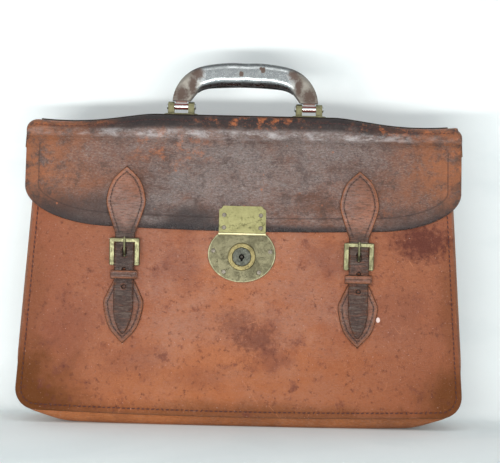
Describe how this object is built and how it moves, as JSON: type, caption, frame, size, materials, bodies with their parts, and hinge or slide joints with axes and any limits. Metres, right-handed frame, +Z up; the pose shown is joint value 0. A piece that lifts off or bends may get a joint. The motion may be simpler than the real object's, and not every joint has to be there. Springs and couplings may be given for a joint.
{
  "type": "leather briefcase",
  "caption": "Leather flap-over briefcase with buckled front straps, a central key lock, a hinged flap and a swinging metal top handle.",
  "frame": {"origin": "centre of the flat under the base, with the case standing up", "axes": "+Z up, +X along the width to the right as seen from the front, -Y out of the front"},
  "size_m": [0.4226, 0.0822, 0.3503],
  "materials": {
    "panel_leather": "satin",
    "gusset_leather": "satin",
    "flap_leather": "gloss",
    "strap_leather": "satin",
    "brass": "satin",
    "steel": "satin"
  },
  "bodies": {
    "case": {"front_panel": "panel_leather", "back_panel": "panel_leather", "gusset": "gusset_leather", "flap_back_strip": "flap_leather", "chape_left": "strap_leather", "chape_right": "strap_leather", "keeper_left": "strap_leather", "keeper_right": "strap_leather", "lock_plate": "brass", "lock_collar": "brass", "lock_rivets": "brass", "lock_case": "steel"},
    "lid_top": {"flap_top": "flap_leather", "top_facing": "flap_leather", "stiffener": "steel", "bracket_left": "brass", "bracket_right": "brass", "bracket_rivets": "brass", "handle_pins": "brass"},
    "flap": {"flap_front": "flap_leather", "hasp": "brass", "hasp_rivets": "brass", "strap_left": "strap_leather", "strap_right": "strap_leather"},
    "handle": {"handle_grip": "steel", "handle_seam": "flap_leather", "handle_lugs": "steel"},
    "frame_left": {"buckle_left": "brass"},
    "frame_right": {"buckle_right": "brass"},
    "pin_left": {"prong_left": "brass"},
    "pin_right": {"prong_right": "brass"},
    "key_plug": {"lock_plug": "steel", "lock_post": "steel"},
    "bolt": {"lock_bolt": "steel"}
  },
  "joints": [
    {"name": "rear_fold", "type": "hinge", "parent": "case", "child": "lid_top", "pos_m": [0, 0.02847, 0.27977], "axis": [-1, 0, 0], "range_deg": [0, 90]},
    {"name": "front_fold", "type": "hinge", "parent": "lid_top", "child": "flap", "pos_m": [0, -0.02938, 0.26981], "axis": [-1, 0, 0], "range_deg": [0, 90], "deforming": ["strap_left", "strap_right"]},
    {"name": "handle_swing", "type": "hinge", "parent": "lid_top", "child": "handle", "pos_m": [0, -0.0002, 0.3064], "axis": [1, 0, 0], "range_deg": [-85, 85]},
    {"name": "buckle_left_swing", "type": "hinge", "parent": "case", "child": "frame_left", "pos_m": [-0.111, -0.03493, 0.15154], "axis": [1, 0, 0], "range_deg": [0, 70]},
    {"name": "buckle_right_swing", "type": "hinge", "parent": "case", "child": "frame_right", "pos_m": [0.111, -0.03493, 0.15154], "axis": [1, 0, 0], "range_deg": [0, 70]},
    {"name": "prong_left_swing", "type": "hinge", "parent": "frame_left", "child": "pin_left", "pos_m": [-0.111, -0.03493, 0.15154], "axis": [1, 0, 0], "range_deg": [0, 45]},
    {"name": "prong_right_swing", "type": "hinge", "parent": "frame_right", "child": "pin_right", "pos_m": [0.111, -0.03493, 0.15154], "axis": [1, 0, 0], "range_deg": [0, 45]},
    {"name": "key_turn", "type": "hinge", "parent": "case", "child": "key_plug", "pos_m": [0, -0.0319, 0.1603], "axis": [0, -0.9987, 0.0504], "range_deg": [0, 90]},
    {"name": "bolt_slide", "type": "slide", "parent": "case", "child": "bolt", "axis": [0, 0.0504, 0.9987], "range_m": [0, 0.00382]}
  ],
  "couplings": [
    {"joint": "bolt_slide", "follows": "key_turn", "m_per_rad": 0.002431}
  ]
}
